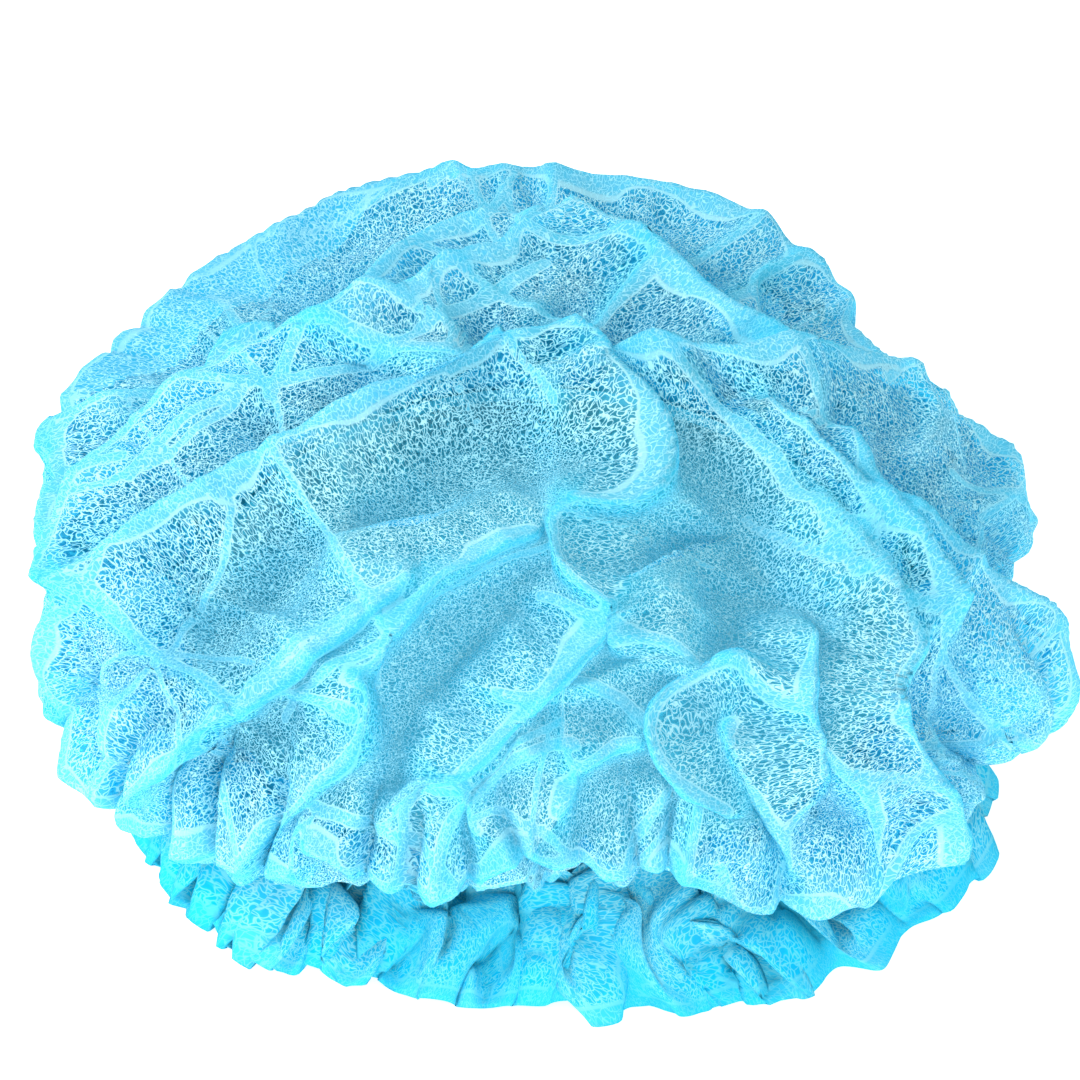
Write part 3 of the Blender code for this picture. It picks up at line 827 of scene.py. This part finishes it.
# Two nets of low crests: their size, their height and the crest value that leaves the cloth where it is, and
# how much lower they are near the elastic
CREST_SIZE = 0.060
CREST_HEIGHT = 0.0030
CREST_MIDDLE = 0.7
FINE_CREST_SIZE = 0.030
FINE_CREST_HEIGHT = 0.0005
FINE_CREST_MIDDLE = 0.5
EDGE_CREST_LOSS = 0.5
# The lobes in which the bag's lower edge hangs: their size, how much they are drawn out down the bag, their
# height, the value that leaves the cloth where it is, and where they start and are full
HANG_SIZE = 0.060
HANG_LENGTH = 0.25
HANG_HEIGHT = 0.010
HANG_MIDDLE = 0.72
HANG_FROM = (0.45, 0.70)
# How far the sheet lies under the plain folds, so that its crests and creases stay near the model's faces
SUNK = 0.0045
# How far a face tilts off the plain bag where it counts as steep and as fully steep
STEEP_FROM = (0.03, 0.45)
# How many squares of the grid two smoothings reach, against which cloth stands out or lies in
NEAR_REACH = 4
WIDE_REACH = 12
# Ridges and hollows against the near and the wide smoothing: where they start and are full, in metres, and
# how strong they are. The hollows get painted shade.
RIDGE_NEAR = (0.0002, 0.0022, 0.8)
RIDGE_WIDE = (0.0030, 0.0080, 0.3)
SHADE_IN_NEAR = (0.0002, 0.0018, 0.6)
SHADE_IN_WIDE = (-0.0010, 0.0035, 0.8)
PAINTED_SHADE_SHARE = 0.7
# How deep and blue the cloth is: where it turns under, and in shares of the steep, under and rear masks.
# Under a fold that is partly doubled cloth and partly painted shade; on the rear it is painted shade.
DEEP_FROM = (0.75, 1.0)
STEEP_DEEP = 0.2
FOLD_DEEP = 0.8
CREASE_DEEP = 0.7
REAR_DEEP = 0.2
# How much closer the web is at the crown's middle, where the folds draw its mesh out
WEB_CLOSER = 0.55
# Where the gathered underside starts, in which the web isn't see-through
DENSE_FROM = 0.84


def add_crown(web, closed):
    """The bag as one thin sheet: main folds, the cloth's own buckling, nets of crests, creases and gathers.

    web is the see-through material, and closed is the one for the rear and the gathered underside.
    """
    flat, faces, points, normals, shaped, apart, under, free = shaped_bag(RINGS)
    shaped = shaped + finer(settle_cloth(), RINGS + 1) * free[:, None]
    small, small_shift, crease_apart, crease_under = small_creases(points, normals)
    crest, _ = crumple(flat, CREST_SIZE, 7)
    fine_crest, _ = crumple(flat, FINE_CREST_SIZE, 19)
    down = np.hypot(flat[:, 0], flat[:, 1]) / FLAT_BAG
    right, back = flat[:, 0] / FLAT_BAG, flat[:, 1] / FLAT_BAG
    rear = smooth_step(*REAR_FADE, back - np.interp(right, TOP_LINE_RIGHT, TOP_LINE_BACK))
    calm = (1 - EDGE_CREST_LOSS * smooth_step(*EDGE_CALM, down)) * (1 - REAR_CREST_LOSS * rear)
    crests = CREST_HEIGHT * (crest - CREST_MIDDLE)
    crests = crests + FINE_CREST_HEIGHT * (fine_crest - FINE_CREST_MIDDLE)
    lift = CREASE_SHARE * small * (1 - REAR_CREASE_LOSS * rear) + crests * calm
    around = np.arctan2(flat[:, 0], -flat[:, 1]) * FLAT_BAG
    hung, _ = crumple(np.stack([around, HANG_LENGTH * FLAT_BAG * down], axis=1), HANG_SIZE, 31)
    lift = lift + HANG_HEIGHT * (domed(hung) - HANG_MIDDLE) * smooth_step(*HANG_FROM, down)
    lift = (lift - SUNK) * free
    shaped = shaped + lift[:, None] * normals + small_shift * free[:, None] + mouth_middle()
    piece = mesh_piece("crown_web", shaped, faces, web)
    tilt = 1 - np.einsum("ij,ij->i", quad_normals(shaped, faces), normals)
    steep = smooth_step(*STEEP_FROM, tilt)
    near, wide = (stands_out(shaped, normals, 2 * RINGS + 1, reach) for reach in (NEAR_REACH, WIDE_REACH))
    ridge = np.clip(strength(near, *RIDGE_NEAR) + strength(wide, *RIDGE_WIDE), 0, 1)
    # Painted shade where the cloth lies in below the cloth round it; the rear gets painted shade too
    painted_shade = np.clip(strength(-near, *SHADE_IN_NEAR) + strength(-wide, *SHADE_IN_WIDE), 0, 1)
    painted_shade = PAINTED_SHADE_SHARE * painted_shade * (1 - ridge) * (1 - under) * (1 - rear)
    lines = (apart + REAR_NARROWS * rear, crease_apart + REAR_NARROWS * rear)
    # Bluer cloth where it turns under and where it is steep; below the folds and creases partly doubled cloth
    # and partly painted shade, and on the rear painted shade
    layers_and_shade = (smooth_step(*DEEP_FROM, down), STEEP_DEEP * steep, FOLD_DEEP * under, CREASE_DEEP * crease_under)
    closer = 1 + WEB_CLOSER * (1 - down) ** 2
    add_masks(piece.data, {
        "web": np.concatenate([flat * closer[:, None], np.zeros((len(flat), 1))], axis=1),
        "ridge": ridge * (1 - REAR_RIDGE_LOSS * rear),
        "fold": np.clip(np.minimum.reduce(lines), 0, FAR),
        "steep": steep,
        "layers_and_shade": np.maximum.reduce([*layers_and_shade, REAR_DEEP * rear]),
        "painted_shade": np.maximum(painted_shade, REAR_PAINTED_SHADE * rear),
    })
    piece.data.materials.append(closed)
    dense = (rear > 0.5) | (down > DENSE_FROM)
    piece.data.polygons.foreach_set("material_index", dense[faces[:, 0]].astype(np.int32))
    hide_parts("crown")
    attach(piece, "root")
    return piece


# The frill's grid: squares along a lobe and across the frill, and those of its hem, which is turned under
LOBE_STEPS = 34
FRILL_ROWS = 40
HEM_ROWS = 4
HEM = 0.004
HEM_DROP = 0.0008
HEM_SLOPE = 0.0006
# From a seeded draw for each lobe: how high it is, how far out, how bulged, how leant, how much its edge
# lifts and how high it is joined to the next
LOBE_SEED = 5
LOBE_HEIGHT = (0.80, 1.35)
LOBE_REACH = (0.000, 0.006)
LOBE_BULGE = (0.0040, 0.0085)
LOBE_LEAN = (-0.0110, 0.0110)
LOBE_EDGE = (0.000, 0.006)
LOBE_JOINED = (-0.35, 0.90)
# How round a lobe is across and from the elastic to the hem, and how high the rear lobes are beside the
# front ones
LOBE_ACROSS = 2.6
LOBE_ALONG = 3.0
REAR_LOBES = 0.6
# How far a pleat's line wanders, in pleats, and over which distance
WANDER = 0.45
WANDER_SIZE = 0.040
# The gathers and dents of the frill's cloth: sizes, heights, and the share of their length that the gathers
# keep
GATHER_SIZE = 0.017
GATHER_HEIGHT = 0.0045
GATHER_LENGTH = 0.45
DENT_SIZE = 0.034
DENT_HEIGHT = 0.0065
# The slow unevenness of the frill's edge: its size and how far out it goes
WAVE_SIZE = 0.045
WAVE_REACH = 0.0016
# A lobe's flank: where it lies from the lobe's middle, in pleats, how wide a lobe is, and half its pale band
FLANK_AT = 0.34
FLANK_WIDTH = 0.026
FLANK_BAND = 0.0015
# How high the cloth lies over the floor, plain, at the lowest, and at the hem's lowest. How much closer the
# web is than on the flat disc, and how steep it counts.
LIES_AT = 0.0004
LOWEST = 0.0003
HEM_LOWEST = 0.0001
FRILL_CLOSER = 1.25
FRILL_STEEP = 0.9


def pleat_wave(turn):
    """Where a place round the frill lies among its pleats: a whole number on each crest."""
    waver = 0.45 * np.sin(2 * math.pi * (5 * turn + 0.1)) + 0.3 * np.sin(2 * math.pi * (8 * turn + 0.6))
    return PLEATS * turn + waver


def between_lobes(draw, phase):
    """A value of each lobe, held over most of the lobe and blended into the next one's near the valley."""
    lobe = np.floor(phase).astype(int)
    place = phase - lobe
    here, before, after = draw[lobe % PLEATS], draw[(lobe - 1) % PLEATS], draw[(lobe + 1) % PLEATS]
    to_after = 0.5 * smooth_step(0.75, 1.0, place)
    to_before = 0.5 * smooth_step(0.25, 0.0, place)
    return here + to_after * (after - here) + to_before * (before - here)


def add_ruffle(web):
    """The frill as puffed, uneven lobes that bulge and lean over each other, with its hem turned under."""
    columns = PLEATS * LOBE_STEPS
    rows = FRILL_ROWS + HEM_ROWS + 1
    turn, row = np.meshgrid(np.arange(columns) / columns, np.arange(rows))
    turn, row = turn.ravel(), row.ravel()
    out = np.minimum(row / FRILL_ROWS, 1.0)
    under = np.maximum(row - FRILL_ROWS, 0) / HEM_ROWS
    angle = 2 * math.pi * turn
    way = np.stack([np.sin(angle), -np.cos(angle)], axis=1)
    drawn = way * (FLAT_BAG + out * FLAT_FRILL)[:, None]
    wander = waves(drawn, WANDER_SIZE, 9, 23) * smooth_step(0.0, 0.6, out)
    phase = pleat_wave(turn) + 0.5 + WANDER * wander
    lobe = np.floor(phase).astype(int) % PLEATS
    place = phase - np.floor(phase) - 0.5
    rng = np.random.default_rng(LOBE_SEED)
    limits = (LOBE_HEIGHT, LOBE_REACH, LOBE_BULGE, LOBE_LEAN, LOBE_EDGE)
    draws = [rng.uniform(*ends, PLEATS) for ends in limits]
    high, far, bulged, leant, lifted = (between_lobes(draw, phase) for draw in draws)
    joined = rng.uniform(*LOBE_JOINED, PLEATS)
    valley = np.where(place > 0, joined[lobe], joined[lobe - 1])
    puff = np.maximum(1 - (1 - valley) * np.abs(2 * place) ** LOBE_ACROSS, 0)
    over = 1 - np.abs(2 * out**0.8 - 1) ** LOBE_ALONG
    rim = ellipse(turn, FRILL_WIDTH, FRILL_DEPTH)
    outward = rim / np.linalg.norm(rim, axis=1, keepdims=True)
    aside = np.stack([-outward[:, 1], outward[:, 0]], axis=1)
    front = (1 - outward[:, 1]) / 2
    reach = periodic([section[3] for section in SECTIONS], turn) - SCALLOP
    start = ellipse(turn, MOUTH_WIDTH + ELASTIC_THICK, MOUTH_DEPTH + ELASTIC_THICK)
    end = reach[:, None] * rim + (far * puff**0.7)[:, None] * outward
    plan = start + (1 - np.cos(out * math.pi / 2))[:, None] * (end - start)
    fall = np.sin(np.minimum(out / FRILL_RESTS_AT, 1) * math.pi / 2)
    height = LIES_AT + (MOUTH_HEIGHT - LIES_AT - LOWEST) * (1 - fall)
    height = height + PLEAT_HEIGHT * high * puff * over * (REAR_LOBES + (1 - REAR_LOBES) * front)
    height = height + lifted * puff * out**3
    sideways = (bulged * np.sin(2 * math.pi * place) + leant * puff) * (over + 0.3 * out**2)
    plan = plan + sideways[:, None] * aside
    gather_drawn = way * (FLAT_BAG + GATHER_LENGTH * out * FLAT_FRILL)[:, None]
    gathered, gather_apart = crumple(gather_drawn, GATHER_SIZE, 3)
    dented, dent_apart = crumple(drawn, DENT_SIZE, 8)
    dents = GATHER_HEIGHT * (domed(gathered) - 0.5) + DENT_HEIGHT * (domed(dented) - 0.5)
    height = height + np.sin(np.clip(out * 1.1, 0, 1) * math.pi) ** 0.5 * dents
    wave = waves(drawn, WAVE_SIZE, 10, 5)
    plan = plan + (WAVE_REACH * wave * out - HEM * under)[:, None] * outward
    height = np.maximum(height, LOWEST)
    hem_height = np.maximum(height - HEM_DROP - HEM_SLOPE * under, HEM_LOWEST)
    height = np.where(under > 0, hem_height, height)
    points = np.stack([plan[:, 0], plan[:, 1], height], axis=1) + mouth_middle()
    index = np.arange(len(points)).reshape(rows, columns)
    after = np.roll(index, -1, axis=1)
    faces = np.stack([index[:-1], index[1:], after[1:], after[:-1]], axis=-1).reshape(-1, 4)
    piece = mesh_piece("ruffle_web", points, faces, web)
    radius = FRILL_CLOSER * (FLAT_BAG + out * FLAT_FRILL - under * HEM)
    hem_apart = 2 * (1 - out) * FLAT_FRILL / HEM
    flank_apart = np.abs(np.abs(place) - FLANK_AT) * FLANK_WIDTH / FLANK_BAND + 1.2 * (1 - over) + 0.5 * wave
    lines = (hem_apart, 1.6 * gather_apart, dent_apart, np.maximum(flank_apart, 0), np.full(len(points), FAR))
    add_masks(piece.data, {
        "web": np.stack([radius * way[:, 0], radius * way[:, 1], np.zeros(len(points))], axis=1),
        "ridge": 0.55 * smooth_step(0.5, 1.0, puff) * over,
        "fold": np.minimum.reduce(lines),
        "steep": np.full(len(points), FRILL_STEEP),
        "painted_shade": np.zeros(len(points)),
        "layers_and_shade": np.clip(1.05 - 0.45 * puff * over - 0.15 * wave, 0, 1),
    })
    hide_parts("hem_ruffle")
    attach(piece, "root")
    return piece


# The covered elastic: its ribs and the bumps in its tone, in metres, and its colours. The grooves between
# the ribs are darker as painted shade.
RIB = 0.0009
TONE_BUMPS = 0.004
GROOVE_SHADE_COLOUR = (0.60, 0.72, 0.78)
RIB_COLOUR = (0.86, 0.92, 0.94)
ELASTIC_COLOUR = (0.72, 0.86, 0.92)


def rubber_material(name):
    """Pale covered elastic: fine ribs of thread wound round it, a little uneven in tone and in sheen."""
    material = bpy.data.materials.new(name)
    material.use_nodes = True
    tree = material.node_tree
    shader = tree.nodes["Principled BSDF"]
    place = node(tree, "ShaderNodeTexCoord").outputs["Object"]
    ribs = node(tree, "ShaderNodeTexWave", wave_type="RINGS", rings_direction="Z", wave_profile="SIN")
    ribs.inputs["Scale"].default_value = 1 / RIB
    ribs.inputs["Distortion"].default_value = 1.5
    tree.links.new(place, ribs.inputs["Vector"])
    uneven = node(tree, "ShaderNodeTexNoise")
    uneven.inputs["Scale"].default_value = 1 / TONE_BUMPS
    tree.links.new(place, uneven.inputs["Vector"])
    # Painted shade in the grooves between the ribs
    ribs_and_groove_shade = blended(tree, ribs.outputs["Fac"], GROOVE_SHADE_COLOUR, RIB_COLOUR)
    colour = blended(tree, uneven.outputs["Fac"], ribs_and_groove_shade, ELASTIC_COLOUR)
    tree.links.new(colour, shader.inputs["Base Color"])
    rough = maths(tree, "MULTIPLY_ADD", uneven.outputs["Fac"], 0.25, 0.5)
    tree.links.new(rough, shader.inputs["Roughness"])
    bump = node(tree, "ShaderNodeBump")
    bump.inputs["Strength"].default_value = 0.5
    bump.inputs["Distance"].default_value = 0.0003
    tree.links.new(ribs.outputs["Fac"], bump.inputs["Height"])
    tree.links.new(bump.outputs["Normal"], shader.inputs["Normal"])
    return material


# The floor glows beyond the cap: how far from its middle that starts and is full, and how bright it is
GLOW_FROM = 0.09
GLOW_FULL = 0.13
GLOW = 0.7
FLOOR_SIZE = 8


def add_floor():
    """A plain pale floor, lit from below beyond the cap like a light table."""
    bpy.ops.mesh.primitive_plane_add(size=FLOOR_SIZE, location=(0, 0, 0))
    floor = bpy.context.object
    floor.name = "floor"
    material = bpy.data.materials.new("floor")
    material.use_nodes = True
    shader = material.node_tree.nodes["Principled BSDF"]
    shader.inputs["Base Color"].default_value = (0.9, 0.9, 0.9, 1)
    shader.inputs["Roughness"].default_value = 0.9
    shader.inputs["Emission Color"].default_value = (1, 1, 1, 1)
    tree = material.node_tree
    place = node(tree, "ShaderNodeTexCoord").outputs["Object"]
    far = node(tree, "ShaderNodeVectorMath", operation="LENGTH")
    tree.links.new(place, far.inputs[0])
    glow = node(tree, "ShaderNodeMapRange", interpolation_type="SMOOTHSTEP")
    glow.inputs["From Min"].default_value = GLOW_FROM
    glow.inputs["From Max"].default_value = GLOW_FULL
    glow.inputs["To Max"].default_value = GLOW
    tree.links.new(far.outputs["Value"], glow.inputs["Value"])
    tree.links.new(glow.outputs["Result"], shader.inputs["Emission Strength"])
    floor.data.materials.append(material)


# The world's strength, and the lamps over the left and low in front
WORLD_LIGHT = 0.80
LAMPS = (
    # name, place, size, power
    ("key", (-1.1, 0.0, 1.0), 0.50, 15),
    ("fill", (0.2, -1.5, 0.45), 0.9, 12),
)


def add_lights():
    """Soft studio light: a white world, a key lamp over the left and a fill lamp in front."""
    world = bpy.data.worlds.new("studio")
    world.use_nodes = True
    world.node_tree.nodes["Background"].inputs["Color"].default_value = (1, 1, 1, 1)
    world.node_tree.nodes["Background"].inputs["Strength"].default_value = WORLD_LIGHT
    bpy.context.scene.world = world
    for name, place, size, power in LAMPS:
        data = bpy.data.lights.new(name, "AREA")
        data.size = size
        data.energy = power
        lamp = bpy.data.objects.new(name, data)
        lamp.location = place
        lamp.rotation_euler = (-Vector(place)).to_track_quat("-Z", "Y").to_euler()
        bpy.context.scene.collection.objects.link(lamp)


add_camera()
add_floor()
add_lights()
web = web_material("cyan_web", True)
closed = web_material("gathered_cyan_web", False)
crown = add_crown(web, closed)
ruffle = add_ruffle(closed)
elastic = bpy.data.objects["elastic_ring"]
elastic.data.materials.clear()
elastic.data.materials.append(rubber_material("covered_elastic"))
bpy.context.scene.view_settings.view_transform = "Standard"
bpy.context.scene.cycles.max_bounces = 3
bpy.context.scene.cycles.diffuse_bounces = 1
bpy.context.scene.cycles.transparent_max_bounces = 4
